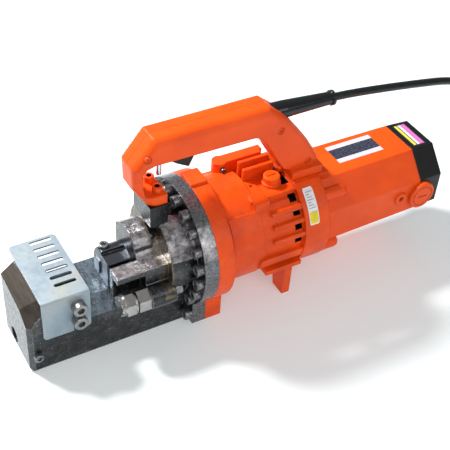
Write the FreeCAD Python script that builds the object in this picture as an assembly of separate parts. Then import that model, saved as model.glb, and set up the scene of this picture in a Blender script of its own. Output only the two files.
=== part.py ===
import FreeCAD, Part
import math
import os

from FreeCAD import Matrix, Placement, Rotation, Vector

# Hand-held electro-hydraulic rebar cutter, 25 mm class, in millimetres.
# The script measures X from the front face of the steel mounting flange, with
# the cutting nose towards -X and the motor towards +X, Y = 0 in the middle and
# Z = 0 on the floor.  save() then moves everything so that the origin is the
# middle of the tool's footprint.

# ---------------------------------------------------------------- dimensions
AXIS_Z = 89.5            # height of the ram, pump and motor axis
NOSE_X = -186.0          # front of the nose
TAIL_X = 331.0           # back of the tail cover
ORIGIN_X = (NOSE_X + TAIL_X) / 2

BEAM_HALF = 35.0         # half width of the beam and of the nose's near side
NOSE_FAR = 39.0          # half width of the nose on the far side
NOSE_TOP = 96.0
NOSE_BACK = -146.0
FLOOR_Z = 69.2           # machined floor of the jaw gap
JAW_WALL_END = -118.0

FLANGE_R = 73.5
FLANGE_T = 16.4
FOOT_HALF = 49.0
FOOT_Z = 4.0
BOLT_CIRCLE_R = 65.0
BOLT_STEP = 18.0
BOLT_FIRST = -43.0
BOLT_COUNT = 16
FOOT_BOLT = (43.0, 16.0)

ROD_R = 20.0
ROD_FRONT = -88.0
RUNNING = 0.05           # radial clearance of a running fit
PISTON_R = 31.95
BORE_R = 32.0
BORE_FRONT = -19.0
PISTON_X = (20.0, 32.0)
DOME_FRONT = -28.5

STOPPER_Y, STOPPER_Z = -46.0, 68.5
STOPPER_AF = 24.0
STOPPER_R = 8.0

CASE_REAR = 131.0        # pump case meets the fan case
FAN_REAR = 163.0         # fan case meets the motor housing
HOUSING_REAR = 298.0     # motor housing meets the tail cover
COLLAR_R = 65.0
PAD_Z = 147.0            # flat on which the handle's rear foot stands
MOTOR_TOP = 48.5         # motor housing: height of the flat top over the axis
BRUSH_X = 301.0

CAM_Z = 68.0             # pump camshaft axis
GEAR_MODULE = 1.0
PINION_TEETH = 11
GEAR_TEETH = 32

HANDLE_HALF = 18.0
HANDLE_TOP = 246.0
PIVOT = (-12.0, 221.0)   # trigger pivot, X and Z
ROOM_Z = 219.5           # floor of the switch room in the grip
LOCK_X = -20.5
RELIEF_START = Vector(98.0, 0, 229.9)
RELIEF_AXIS = Vector(91.0, 0, -4.4).normalize()
RELIEF_END = RELIEF_START + RELIEF_AXIS * 91.0

CORD_R = 4.5
COIL_X = 586.0
COIL_MEAN_R = 49.5
COIL_TURNS = 6
COIL_IN = Vector(554.0, -0.6, 58.2)   # where the lead enters the coil
COIL_OUT_X = COIL_X + 34
PLUG_Z = 13.5

# ------------------------------------------------------------------- helpers


def box(x0, x1, y0, y1, z0, z1):
    return Part.makeBox(x1 - x0, y1 - y0, z1 - z0, Vector(x0, y0, z0))


def rod_x(x0, x1, y, z, r):
    return Part.makeCylinder(r, x1 - x0, Vector(x0, y, z), Vector(1, 0, 0))


def rod_y(y0, y1, x, z, r):
    return Part.makeCylinder(r, y1 - y0, Vector(x, y0, z), Vector(0, 1, 0))


def rod_z(z0, z1, x, y, r):
    return Part.makeCylinder(r, z1 - z0, Vector(x, y, z0), Vector(0, 0, 1))


def cone_x(x0, x1, y, z, r0, r1):
    return Part.makeCone(r0, r1, x1 - x0, Vector(x0, y, z), Vector(1, 0, 0))


def ring_x(x0, x1, y, z, inner, outer):
    return rod_x(x0, x1, y, z, outer).cut(rod_x(x0 - 1, x1 + 1, y, z, inner))


def prism(points, shift):
    wire = Part.makePolygon(points + [points[0]])
    return Part.Face(wire).extrude(shift)


def prism_x(outline, x0, x1):
    """Outline of (y, z) points, extruded along X."""
    return prism([Vector(x0, y, z) for y, z in outline], Vector(x1 - x0, 0, 0))


def prism_y(outline, y0, y1):
    """Outline of (x, z) points, extruded along Y."""
    return prism([Vector(x, y0, z) for x, z in outline], Vector(0, y1 - y0, 0))


def prism_z(outline, z0, z1):
    """Outline of (x, y) points, extruded along Z."""
    return prism([Vector(x, y, z0) for x, y in outline], Vector(0, 0, z1 - z0))


def fuse(parts):
    return parts[0].multiFuse(parts[1:]).removeSplitter()


def mirrored(shape):
    return shape.mirror(Vector(0, 0, 0), Vector(0, 1, 0))


def both_sides(shape):
    return [shape, mirrored(shape)]


def hex_prism_x(x0, x1, y, z, across_flats):
    """Hexagon along X with a corner at the top."""
    r = across_flats / math.sqrt(3)
    outline = []
    for k in range(6):
        a = math.radians(60 * k + 30)
        outline.append((y + r * math.cos(a), z + r * math.sin(a)))
    return prism_x(outline, x0, x1)


def beyond(point, normal):
    """Large block on the outer side of a plane, for cutting a facet."""
    block = Part.makeBox(160, 160, 60, Vector(-80, -80, 0))
    block.Placement = Placement(point, Rotation(Vector(0, 0, 1), normal))
    return block


def fillet(shape, radius, wanted):
    edges = [e for e in shape.Edges if wanted(e)]
    return shape.makeFillet(radius, edges)


def polar(radius, degrees):
    """Y and Z on a circle about the main axis; 0 is the near side, 90 the top."""
    a = math.radians(degrees)
    return -radius * math.cos(a), AXIS_Z + radius * math.sin(a)


def socket_screw(seat, outward, head_r, head_h, shank_r, length):
    """Socket head screw whose head stands on the seat point and faces outward."""
    socket = prism_z([(0.55 * head_r * math.cos(math.radians(60 * k)),
                       0.55 * head_r * math.sin(math.radians(60 * k))) for k in range(6)],
                     head_h * 0.5, head_h + 1)
    head = rod_z(0, head_h, 0, 0, head_r)
    head = head.makeChamfer(0.1 * head_r, [e for e in head.Edges if e.BoundBox.ZMin > head_h - 0.01])
    screw = fuse([head.cut(socket), rod_z(-length, 0, 0, 0, shank_r)])
    turn = Rotation(Vector(0, 0, 1), outward)
    screw.Placement = Placement(seat, turn)
    return screw


def screw_hole(seat, outward, shank_r, length):
    direction = Vector(outward).normalize()
    start = seat - direction * (length + 0.5)
    return Part.makeCylinder(shank_r + RUNNING, length + 1.0, start, direction)


def coil_spring(start, direction, length, mean_r, wire_r, turns):
    """Round-wire compression spring whose wire just stays inside its length."""
    height = length - 2 * wire_r
    helix = Part.makeHelix(height / turns, height, mean_r)
    profile = Part.Wire(Part.makeCircle(wire_r, Vector(mean_r, 0, 0), Vector(0, 1, 0)))
    spring = Part.Wire(helix).makePipeShell([profile], True, True)
    spring.translate(Vector(0, 0, wire_r))
    spring.Placement = Placement(start, Rotation(Vector(0, 0, 1), direction)).multiply(spring.Placement)
    return spring


def spur_gear(x0, x1, y, z, teeth, bore, first_angle):
    """Spur gear with straight-flanked teeth and generous backlash."""
    pitch_r = GEAR_MODULE * teeth / 2
    root_r = pitch_r - 1.2 * GEAR_MODULE
    tip_r = pitch_r + 0.95 * GEAR_MODULE
    step = 360.0 / teeth
    outline = []
    for k in range(teeth):
        centre = first_angle + k * step
        for radius, share in ((root_r, -0.30), (pitch_r, -0.21), (tip_r, -0.11),
                              (tip_r, 0.11), (pitch_r, 0.21), (root_r, 0.30)):
            a = math.radians(centre + share * step)
            outline.append((y + radius * math.cos(a), z + radius * math.sin(a)))
    return prism_x(outline, x0, x1).cut(rod_x(x0 - 1, x1 + 1, y, z, bore))


def save(name, shape):
    moved = shape.copy()
    moved.translate(Vector(-ORIGIN_X, 0, 0))
    solids = moved.Solids
    if not solids or not moved.isValid():
        print("PROBLEM", name, "solids", len(solids), "valid", moved.isValid())
    result = solids[0] if len(solids) == 1 else Part.makeCompound(solids)
    result.exportStep("parts/" + name + ".step")


# --------------------------------------------------------------- cutter head


def flange_bolt_seats():
    seats = [Vector(0, *polar(BOLT_CIRCLE_R, BOLT_FIRST + k * BOLT_STEP)) for k in range(BOLT_COUNT)]
    return seats + [Vector(0, side * FOOT_BOLT[0], FOOT_BOLT[1]) for side in (-1, 1)]


FLANGE_BOLT = dict(outward=Vector(-1, 0, 0), shank_r=4.0, length=24.0)
GUARD_SCREW_SEATS = [Vector(-130.6, -37.0, z) for z in (62.2, 81.7)]
GUARD_SCREW = dict(outward=Vector(0, -1, 0), shank_r=5.0, length=13.6)
NOSE_SCREW_SEAT = Vector(-177.0, -BEAM_HALF, 23.5)
NOSE_SCREW = dict(outward=Vector(0, -1, 0), shank_r=3.0, length=12.0)
HANDLE_BOLT_SEATS = [Vector(-27.0, y, 177.0) for y in (-9.5, 9.5)]
HANDLE_BOLT = dict(outward=Vector(0, 0, 1), shank_r=3.0, length=26.0)
FIXED_BOLT_SEAT = Vector(-124.0, -11.0, 82.0)
FIXED_BOLT = dict(outward=Vector(1, 0, 0), shank_r=3.0, length=36.0)


def beam_and_nose():
    def low_edge(edge):
        return edge.BoundBox.XLength > 30 and edge.BoundBox.ZMax < 0.1
    beam = fillet(box(NOSE_BACK - 4, -2, -BEAM_HALF, BEAM_HALF, 0, FLOOR_Z), 4.0, low_edge)
    side = [(NOSE_X, 4), (NOSE_X + 4, 0), (NOSE_BACK, 0), (NOSE_BACK, NOSE_TOP), (NOSE_X, NOSE_TOP)]
    nose = fillet(prism_y(side, -BEAM_HALF, NOSE_FAR), 4.0, low_edge)
    top_facet = beyond(Vector(-171, NOSE_FAR, NOSE_TOP), Vector(-11, -1.67, 14.5))
    near_facet = beyond(Vector(-180.5, -BEAM_HALF, 68.5), Vector(-0.63, -0.458, 0.63))
    near_edge = beyond(Vector(NOSE_X, -BEAM_HALF + 5, 40), Vector(-1, -1, 0))
    nose = nose.cut([top_facet, near_facet, near_edge])
    near_wall = box(NOSE_BACK, JAW_WALL_END, -BEAM_HALF, -23, 60, 92)
    near_slope = prism_x([(-17, FLOOR_Z), (-36, 54.2), (-36, 80), (-17, 80)], JAW_WALL_END, -2)
    return fuse([beam.cut(near_slope), nose, near_wall])


def rod_guide():
    """Block that carries the ram ahead of the dome, with its near side shelf."""
    block = prism_x([(-23.5, 60), (28.5, 60), (28.5, 117.5), (18, 125), (5, 129.5), (-7, 128),
                     (-14, 122.5), (-18.5, 115), (-21, 106), (-23.5, 104)], -57, -36)
    near_web = prism_x([(-30, 60), (-12, 60), (-12, 117), (-17, 114), (-22, 108), (-27, 104),
                        (-30, 104)], -57, -27)
    near_wall = box(-88, -24, -30, -23.5, 60, 104)
    shelf = box(-88, -26, -43, -23.5, 97, 104)
    far_wall = box(-46, -24, 24, BEAM_HALF, 60, 108)
    boss_web = box(-55, -26, -43, -24, 60, 97)
    boss = rod_x(-55, -26, STOPPER_Y, STOPPER_Z, 14.5)
    boss_root = box(-55, -26, STOPPER_Y, -30, STOPPER_Z - 14.5, STOPPER_Z + 14.5)
    return [block, near_web, near_wall, shelf, far_wall, boss_web, boss, boss_root]


def cutter_head():
    flange = rod_x(0, FLANGE_T, 0, AXIS_Z, FLANGE_R)
    foot = box(0, FLANGE_T, -FOOT_HALF, FOOT_HALF, FOOT_Z, 60)
    dome = cone_x(DOME_FRONT, 0, 0, AXIS_Z, 53, 56)
    post = prism_y([(-39.5, 165), (-19, 165), (-19, 120), (DOME_FRONT, 120), (DOME_FRONT, 136),
                    (-39.5, 140)], -20, 20)
    solid = fuse([beam_and_nose(), flange, foot, dome, post] + rod_guide())
    rod_bore = rod_x(-95, BORE_FRONT + 1, 0, AXIS_Z, ROD_R + RUNNING)
    open_well = box(-95, -60, -23.5, 40, FLOOR_Z, 130)
    window = box(-36, DOME_FRONT, -12, 24, FLOOR_Z, 134)
    cylinder = rod_x(BORE_FRONT, FLANGE_T + 1, 0, AXIS_Z, BORE_R)
    wiper_seat = rod_x(DOME_FRONT - 1, -24, 0, AXIS_Z, 24)
    o_ring_seat = ring_x(14.9, FLANGE_T + 1, 0, AXIS_Z, 35.5, 38.5)
    stopper_hole = rod_x(-60, -10, STOPPER_Y, STOPPER_Z, STOPPER_R + RUNNING)
    nose_hole = rod_x(NOSE_X - 1, -160, 14, 14, 9.5)
    holes = [screw_hole(seat, **FLANGE_BOLT) for seat in flange_bolt_seats()]
    holes += [screw_hole(seat, **GUARD_SCREW) for seat in GUARD_SCREW_SEATS]
    holes += [screw_hole(seat, **HANDLE_BOLT) for seat in HANDLE_BOLT_SEATS]
    holes += [screw_hole(NOSE_SCREW_SEAT, **NOSE_SCREW), screw_hole(FIXED_BOLT_SEAT, **FIXED_BOLT)]
    return solid.cut([rod_bore, open_well, window, cylinder, wiper_seat, o_ring_seat,
                      stopper_hole, nose_hole] + holes)


def fixed_cutter():
    block = box(NOSE_BACK, -117, -22, -0.2, FLOOR_Z, 94)
    recess = rod_x(FIXED_BOLT_SEAT.x, -116, FIXED_BOLT_SEAT.y, FIXED_BOLT_SEAT.z, 5.3)
    return block.cut([recess, screw_hole(FIXED_BOLT_SEAT, **FIXED_BOLT)])


def chip_guard():
    """Slotted bent plate over the jaws, clamped by a U notch on the near side."""
    x0, x1 = -169.7, -116.4
    sheet = 2.0
    top = box(x0, x1, -BEAM_HALF - sheet, 59.8, NOSE_TOP, NOSE_TOP + sheet)
    flap = box(x0, x1, -BEAM_HALF - sheet, -BEAM_HALF, 46, NOSE_TOP + sheet)
    plate = fuse([top, flap])

    def outer_bend(edge):
        place = edge.BoundBox
        return place.XLength > 50 and place.ZMin > NOSE_TOP + 1.9 and place.YMax < -BEAM_HALF - 1.9

    def corner(edge):
        place = edge.BoundBox
        upright = place.ZLength > 1.9 and place.XLength < 0.1 and place.YLength < 0.1 and place.YMin > 50
        across = place.YLength > 1.9 and place.YLength < 2.1 and place.ZMax < 47
        return upright or across
    plate = fillet(fillet(plate, 2.5, outer_bend), 5.0, corner)
    slots = []
    for k in range(7):
        y = -15.8 + k * 11.66
        slots.append(box(-144.7, -124.7, y - 2.4, y + 2.4, 90, 100))
        slots.append(rod_z(90, 100, -144.7, y, 2.4))
        slots.append(rod_z(90, 100, -124.7, y, 2.4))
    middle = GUARD_SCREW_SEATS[0].x
    notch_r = GUARD_SCREW["shank_r"] + 0.4
    slots.append(box(middle - notch_r, middle + notch_r, -40, -30, 40, 81.7))
    slots.append(rod_y(-40, -30, middle, 81.7, notch_r))
    return plate.cut(slots)


def stopper_bolt():
    """Hex screw with a toothed end that holds the bar square to the cutters."""
    end = rod_x(-88, -83, STOPPER_Y, STOPPER_Z, 11.5)
    teeth = []
    for k in range(8):
        a = math.radians(45 * k)
        y = STOPPER_Y + 11.5 * math.cos(a)
        z = STOPPER_Z + 11.5 * math.sin(a)
        teeth.append(rod_x(-89, -84.5, y, z, 2.4))
    head = hex_prism_x(-83, -73, STOPPER_Y, STOPPER_Z, STOPPER_AF)
    collar = rod_x(-73, -71, STOPPER_Y, STOPPER_Z, 13)
    shank = rod_x(-71, -16, STOPPER_Y, STOPPER_Z, STOPPER_R)
    threads = [ring_x(x, x + 0.7, STOPPER_Y, STOPPER_Z, STOPPER_R - 0.5, STOPPER_R + 1)
               for x in (-24.0, -22.4, -20.8, -19.2, -17.6)]
    return fuse([head, end, collar, shank]).cut(teeth + threads)


def stopper_nut():
    nut = hex_prism_x(-69, -55, STOPPER_Y, STOPPER_Z, STOPPER_AF)
    return nut.cut(rod_x(-70, -54, STOPPER_Y, STOPPER_Z, STOPPER_R + RUNNING))


# ----------------------------------------------------------------------- ram


MOVING_CUTTER = dict(x0=-90.0, x1=-70.0, y0=0.2, y1=13.0, z0=77.5, z1=95.5)
RAM_BOLT_SEAT = Vector(-81.0, 6.6, 106.5)
RAM_BOLT = dict(outward=Vector(0, 0, 1), shank_r=3.0, length=16.0)


def piston_rod():
    rod = rod_x(ROD_FRONT, PISTON_X[0] + 1, 0, AXIS_Z, ROD_R)
    piston = rod_x(PISTON_X[0], PISTON_X[1], 0, AXIS_Z, PISTON_R)
    seal_groove = ring_x(24, 28, 0, AXIS_Z, 29, PISTON_R + 1)
    shoulder = box(ROD_FRONT, -61, -18.5, 5, 72, 105)
    facet = box(-95, -61, -25, -1, 105, 115)
    bolt_seat = rod_z(RAM_BOLT_SEAT.z, 115, RAM_BOLT_SEAT.x, RAM_BOLT_SEAT.y, 5.8)
    pocket = box(**MOVING_CUTTER)
    body = fillet(rod, 2.0, lambda edge: edge.BoundBox.XMax < ROD_FRONT + 0.1)
    shoulder = fillet(shoulder, 1.5, lambda edge: edge.BoundBox.YMax < -18.4)
    return fuse([body, shoulder, piston]).cut([seal_groove, facet, bolt_seat, pocket,
                                               screw_hole(RAM_BOLT_SEAT, **RAM_BOLT)])


def moving_cutter():
    return box(**MOVING_CUTTER).cut(screw_hole(RAM_BOLT_SEAT, **RAM_BOLT))


def return_spring():
    return coil_spring(Vector(BORE_FRONT, 0, AXIS_Z), Vector(1, 0, 0),
                       PISTON_X[0] - BORE_FRONT, 25.5, 0.95, 5)


# ---------------------------------------------------------------- pump group


FILLER_XY = (111.0, -14.0)
FILLER_SEAT_Z = 144.0
FILLER_TOP = 155.0
VALVE_X, VALVE_Z = 70.0, 150.0


def case_outside():
    flange = rod_x(FLANGE_T, 36.1, 0, AXIS_Z, FLANGE_R)
    foot = box(FLANGE_T, 36.1, -FOOT_HALF, FOOT_HALF, FOOT_Z, 60)
    bump = box(FLANGE_T, 36, -4, 20, 150, 166)
    barrel = rod_x(36, 80, 0, AXIS_Z, 61)
    core = rod_x(78, CASE_REAR, 0, AXIS_Z, 54)
    sides = rod_x(78, CASE_REAR, 0, AXIS_Z, 59.5).common(box(70, 140, -70, 70, 0, 136))
    pads = both_sides(box(42, 80, -66, -40, 100, 136).common(rod_x(40, 90, 0, AXIS_Z, 62.3)))
    platform = box(74, CASE_REAR, -34, 20, 125, FILLER_SEAT_Z)
    tag_pad = box(75, 93, -42, -2, 122, 145.5)
    boss = rod_z(130, 157, VALVE_X, 31, 8.5)
    ridge = box(VALVE_X, 124, 25, 38, 125, 157)
    parts = [flange, foot, bump, barrel, core, sides, platform, tag_pad, boss, ridge] + pads
    for y, top in ((12, 163), (1.5, 160)):
        parts.append(box(83, 121, y - 2, y + 2, 125, top))
    parts.append(box(123, CASE_REAR, -6, -2, 125, 152))
    rib_limit = rod_x(60, CASE_REAR, 0, AXIS_Z, 64)
    for x0, z0, z1 in ((93, 128, 131.2), (92, 115.2, 118.8), (91, 98.5, 103.3), (76, 66, 80)):
        parts += both_sides(box(x0, CASE_REAR, -66, -30, z0, z1).common(rib_limit))
    parts += both_sides(box(85, CASE_REAR, -62, -30, 54, 59.5))
    leg = prism_x([(-50, 0), (-30, 0), (-22, 40), (-22, 60), (-50, 60)], 119, 129)
    drain = rod_z(24, 50, 68, 0, 9)
    return fuse(parts + both_sides(leg) + [drain])


def pump_case():
    inside = [rod_x(FLANGE_T - 1, 33, 0, AXIS_Z, BORE_R), rod_x(32, 40, 0, AXIS_Z, 8),
              rod_x(39, 112, 0, AXIS_Z, 47), rod_x(112, CASE_REAR + 1, 0, AXIS_Z, 50)]
    vents = []
    for z0, z1, reach in ((132, 138.5, 10), (120, 127, 35), (104.5, 114, 35), (88, 97.3, 35), (60.5, 65, 35)):
        vents += both_sides(box(120.5, 129.5, -70, -reach, z0, z1))
    vents += [box(120.5, 129.5, -21, -7.5, 125, 160), box(120.5, 129.5, 16, 30, 125, 160)]
    filler = rod_z(130, 145, FILLER_XY[0], FILLER_XY[1], 6 + RUNNING)
    tag_hole = rod_z(138, 146, 87, -11, 2)
    valve = rod_y(15, 35, VALVE_X, VALVE_Z, 3 + RUNNING)
    holes = [screw_hole(seat, **FLANGE_BOLT) for seat in flange_bolt_seats()]
    return case_outside().cut(inside + vents + [filler, tag_hole, valve] + holes)


def filler_plug():
    x, y = FILLER_XY
    skirt = rod_z(FILLER_SEAT_Z, FILLER_SEAT_Z + 3, x, y, 11)
    cap = rod_z(FILLER_SEAT_Z + 3, FILLER_TOP, x, y, 9.5)
    cap = cap.makeChamfer(1.0, [e for e in cap.Edges if e.BoundBox.ZMin > FILLER_TOP - 0.1])
    stem = rod_z(139.5, FILLER_SEAT_Z, x, y, 6)
    slot = box(x - 6, x + 6, y - 1, y + 1, FILLER_TOP - 1.2, FILLER_TOP + 1)
    return fuse([skirt, cap, stem]).cut(slot)


def release_valve():
    stem = rod_y(19, 34, VALVE_X, VALVE_Z, 3)
    return stem.cut(box(VALVE_X - 0.6, VALVE_X + 0.6, 18, 20.5, VALVE_Z - 4, VALVE_Z + 4))


PLUNGER_X = 85.0


def pump_block():
    boss = rod_x(39, 61, 0, AXIS_Z, 14)
    plate = box(60, 70, -20, 20, 52, 124)
    block = box(69, 99, -16, 16, 92, 122)
    bearing_seat = rod_x(61, 71, 0, CAM_Z, 8 + RUNNING)
    shaft_way = rod_x(50, 62, 0, CAM_Z, 5.5)
    plunger_bore = rod_z(91, 123, PLUNGER_X, 0, 6 + RUNNING)
    oil_way = rod_x(38, 82, 0, AXIS_Z + 8, 2)
    return fuse([boss, plate, block]).cut([bearing_seat, shaft_way, plunger_bore, oil_way])


def pump_plunger():
    return fuse([rod_z(84.1, 86, PLUNGER_X, 0, 9), rod_z(85, 112, PLUNGER_X, 0, 6)])


def plunger_spring():
    return coil_spring(Vector(PLUNGER_X, 0, 86), Vector(0, 0, 1), 6, 7.5, 0.8, 2)


ECCENTRIC = 2.5


def cam_shaft():
    shaft = rod_x(61, 118, 0, CAM_Z, 5)
    eccentric = rod_x(78, 92, 0, CAM_Z + ECCENTRIC, 10)
    return fuse([shaft, eccentric])


def oil_bladder():
    shell = ring_x(42, 57, 0, AXIS_Z, 16, 44)
    return fillet(shell, 3.0, lambda edge: edge.BoundBox.YMax > 40)


def gear_plate():
    plate = rod_x(112, 120, 0, AXIS_Z, 49.8)
    return plate.cut([rod_x(111, 121, 0, AXIS_Z, 7.5), rod_x(111, 118, 0, CAM_Z, 8 + RUNNING)])


# --------------------------------------------------------------- motor group


CASE_SCREW_R = 57.0
CASE_SCREW_ANGLES = (42, 138, 222, 318)
CASE_SCREW = dict(outward=Vector(-1, 0, 0), shank_r=2.5, length=45.0)
HOLDER_SCREW_X, HOLDER_SCREW_Z = 270.5, 93.5
BRUSH_CAP_R = 17.4
TAIL_WALL = 3.5
TAIL_SCREW = dict(outward=Vector(1, 0, 0), shank_r=2.0, length=12.0)
TAIL_SCREW_SEATS = [Vector(TAIL_X - 2, y, AXIS_Z) for y in (-30, 30)]


def case_screw_seats():
    return [Vector(136, *polar(CASE_SCREW_R, a)) for a in CASE_SCREW_ANGLES]


def fan_case():
    collar = rod_x(CASE_REAR, FAN_REAR, 0, AXIS_Z, COLLAR_R)
    flat = box(CASE_REAR - 1, FAN_REAR + 1, -70, 70, PAD_Z, PAD_Z + 20)
    chamber = rod_x(136, FAN_REAR + 1, 0, AXIS_Z, 55)
    shell = collar.cut([flat, chamber])
    hub = rod_x(121, 136, 0, AXIS_Z, 18)
    pad = box(FAN_REAR - 2, 178, -27, 27, AXIS_Z + MOTOR_TOP, PAD_Z)
    bosses = [rod_x(135, FAN_REAR, seat.y, seat.z, 8) for seat in case_screw_seats()]
    solid = fuse([shell, hub, pad] + bosses)
    pockets = [rod_x(130, 136, seat.y, seat.z, 5.3) for seat in case_screw_seats()]
    pockets += [screw_hole(seat, **CASE_SCREW) for seat in case_screw_seats()]
    air_holes = [rod_x(130, 137, *polar(37, 36 * k), 7) for k in range(10)]
    bearing = [rod_x(120, 130, 0, AXIS_Z, 13 + RUNNING), rod_x(120, 137, 0, AXIS_Z, 7.5)]
    return solid.cut(pockets + air_holes + bearing)


def octagon(x, top_half, top, side, side_half, bottom, grow=0.0):
    """Closed wire of the motor's faceted section, grown outward by a fixed amount."""
    outline = [(-top_half, top), (top_half, top), (side, side_half), (side, -side_half),
               (top_half, -bottom), (-top_half, -bottom), (-side, -side_half), (-side, side_half)]
    scale = 1 + grow / side
    points = [Vector(x, y * scale, AXIS_Z + z * scale) for y, z in outline]
    return Part.makePolygon(points + [points[0]])


FRONT_SECTION = dict(top_half=27.5, top=MOTOR_TOP, side=54, side_half=21, bottom=50)
REAR_SECTION = dict(top_half=26, top=MOTOR_TOP, side=51.2, side_half=20, bottom=46)
TAIL_SECTION = dict(top_half=24.5, top=47.5, side=50, side_half=19.5, bottom=44.5)


def motor_housing():
    body = Part.makeLoft([octagon(FAN_REAR, **FRONT_SECTION), octagon(HOUSING_REAR, **REAR_SECTION)],
                         True, True)
    capsules = []
    for seat in case_screw_seats():
        capsules.append(rod_x(FAN_REAR, 187, seat.y, seat.z, 7.2))
        capsules.append(Part.makeSphere(7.2, Vector(187, seat.y, seat.z)))
    brush_boss = both_sides(rod_y(-53, -30, BRUSH_X, AXIS_Z, BRUSH_CAP_R - 0.4))
    screw_boss = both_sides(Part.makeCone(11, 7.5, 15, Vector(HOLDER_SCREW_X, -40, HOLDER_SCREW_Z),
                                          Vector(0, -1, 0)))
    bracket = rod_x(290, TAIL_X - TAIL_WALL, 0, AXIS_Z, 38)
    solid = fuse([body, bracket] + capsules + brush_boss + screw_boss)
    cavity = [rod_x(FAN_REAR - 1, 258, 0, AXIS_Z, 45), rod_x(257, 284, 0, AXIS_Z, 43),
              rod_x(283, 312, 0, AXIS_Z, 34), rod_x(311, 323, 0, AXIS_Z, 13 + RUNNING),
              rod_x(322, TAIL_X, 0, AXIS_Z, 7.5)]
    brush_ways = both_sides(rod_y(-54, -25, BRUSH_X, AXIS_Z, 9))
    screw_ways = both_sides(rod_y(-56, -45, HOLDER_SCREW_X, HOLDER_SCREW_Z, 3.4))
    holes = [screw_hole(seat, **CASE_SCREW) for seat in case_screw_seats()]
    holes += [screw_hole(seat, **TAIL_SCREW) for seat in TAIL_SCREW_SEATS]
    return solid.cut(cavity + brush_ways + screw_ways + holes)


def tail_cover():
    shell = Part.makeLoft([octagon(HOUSING_REAR, **REAR_SECTION), octagon(TAIL_X, **TAIL_SECTION)],
                          True, True)
    shell = shell.makeFillet(3.0, [e for e in shell.Edges if e.BoundBox.XMin > TAIL_X - 0.1])
    hollow = Part.makeLoft([octagon(HOUSING_REAR - 1, **REAR_SECTION, grow=-4),
                            octagon(TAIL_X - TAIL_WALL, **TAIL_SECTION, grow=-4)], True, True)
    brush_cuts = both_sides(rod_y(-60, -34, BRUSH_X, AXIS_Z, BRUSH_CAP_R + 0.3))
    vents = [box(TAIL_X - 5, TAIL_X + 1, -20, 20, AXIS_Z - 1.5 + dz, AXIS_Z + 1.5 + dz)
             for dz in (-24, -16, -8, 0, 8, 16, 24)]
    holes = [screw_hole(seat, **TAIL_SCREW) for seat in TAIL_SCREW_SEATS]
    holes += [rod_x(seat.x, TAIL_X + 1, seat.y, seat.z, 4.3) for seat in TAIL_SCREW_SEATS]
    return shell.cut([hollow] + brush_cuts + vents + holes)


def armature():
    shaft = rod_x(112, 324, 0, AXIS_Z, 6)
    nose = rod_x(99.5, 113, 0, AXIS_Z, 3.4)
    core = rod_x(200, 254, 0, AXIS_Z, 28.5)
    slots = [box(199, 255, -1.2, 1.2, AXIS_Z + 20, AXIS_Z + 30) for k in range(12)]
    for k, slot in enumerate(slots):
        slot.rotate(Vector(0, 0, AXIS_Z), Vector(1, 0, 0), 30 * k)
    ends = [rod_x(190, 201, 0, AXIS_Z, 24), rod_x(253, 266, 0, AXIS_Z, 24)]
    return fuse([shaft, nose, core.cut(slots)] + ends)


def commutator():
    bars = ring_x(289, 311, 0, AXIS_Z, 6.02, 14)
    gaps = [box(288, 312, -0.4, 0.4, AXIS_Z + 13, AXIS_Z + 15) for k in range(24)]
    for k, gap in enumerate(gaps):
        gap.rotate(Vector(0, 0, AXIS_Z), Vector(1, 0, 0), 15 * k)
    return bars.cut(gaps)


def fan():
    hub = rod_x(138, 154, 0, AXIS_Z, 12)
    plate = rod_x(152, 154, 0, AXIS_Z, 46)
    parts = [hub, plate]
    for k in range(10):
        blade = box(140, 153, -1.2, 1.2, AXIS_Z + 11, AXIS_Z + 45)
        blade.rotate(Vector(0, 0, AXIS_Z), Vector(1, 0, 0), 36 * k)
        parts.append(blade)
    return fuse(parts).cut(rod_x(137, 155, 0, AXIS_Z, 6.02))


def field_stator():
    poles = ring_x(200, 258, 0, AXIS_Z, 30.5, 40)
    poles = poles.cut(box(199, 259, -45, 45, AXIS_Z - 9, AXIS_Z + 9))
    return fuse([poles, ring_x(200, 258, 0, AXIS_Z, 38, 44.7)])


def field_coils():
    return Part.makeCompound([ring_x(190, 200, 0, AXIS_Z, 33, 43), ring_x(258, 268, 0, AXIS_Z, 33, 42.5)])


def brush_holders():
    holder = rod_y(-50, -19, BRUSH_X, AXIS_Z, 8.9)
    return Part.makeCompound(both_sides(holder.cut(box(BRUSH_X - 5, BRUSH_X + 5, -51, -18,
                                                       AXIS_Z - 3.5, AXIS_Z + 3.5))))


def carbon_brushes():
    return Part.makeCompound(both_sides(box(BRUSH_X - 4.9, BRUSH_X + 4.9, -34, -14.3,
                                            AXIS_Z - 3.4, AXIS_Z + 3.4)))


def brush_caps():
    cap = rod_y(-57, -53, BRUSH_X, AXIS_Z, BRUSH_CAP_R)
    cap = cap.makeChamfer(1.0, [e for e in cap.Edges if e.BoundBox.YMax < -56.9])
    ring = rod_y(-58, -56, BRUSH_X, AXIS_Z, 13.6).cut(rod_y(-59, -55, BRUSH_X, AXIS_Z, 12.2))
    plug = rod_y(-54, -50, BRUSH_X, AXIS_Z, 8.5)
    slot = box(BRUSH_X - 6, BRUSH_X + 6, -58, -56, AXIS_Z - 1.2, AXIS_Z + 1.2)
    return Part.makeCompound(both_sides(fuse([cap, plug]).cut([ring, slot])))


# -------------------------------------------------------------- handle group


HANDLE_SCREWS = ((-41.0, 226.5), (114.0, 215.0), (154.5, 163.0))


def handle_outline():
    """Closed handle loop: the outer contour and then the finger opening's contour."""
    return [(-19, 165), (-39.5, 165), (-56, 190), (-57, 216), (-33, HANDLE_TOP), (100, HANDLE_TOP),
            (118, 232), (128, 222), (141, 206), (154, 189), (166, 170), (171, 159), (171, PAD_Z),
            (131, PAD_Z), (131, 158), (123, 162), (97, 205), (88, 213.5), (82, 215.7),
            (-33, 217.5), (-42, 215), (-47, 209), (-47, 196), (-44, 180), (-36, 177), (-19, 177)]


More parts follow.
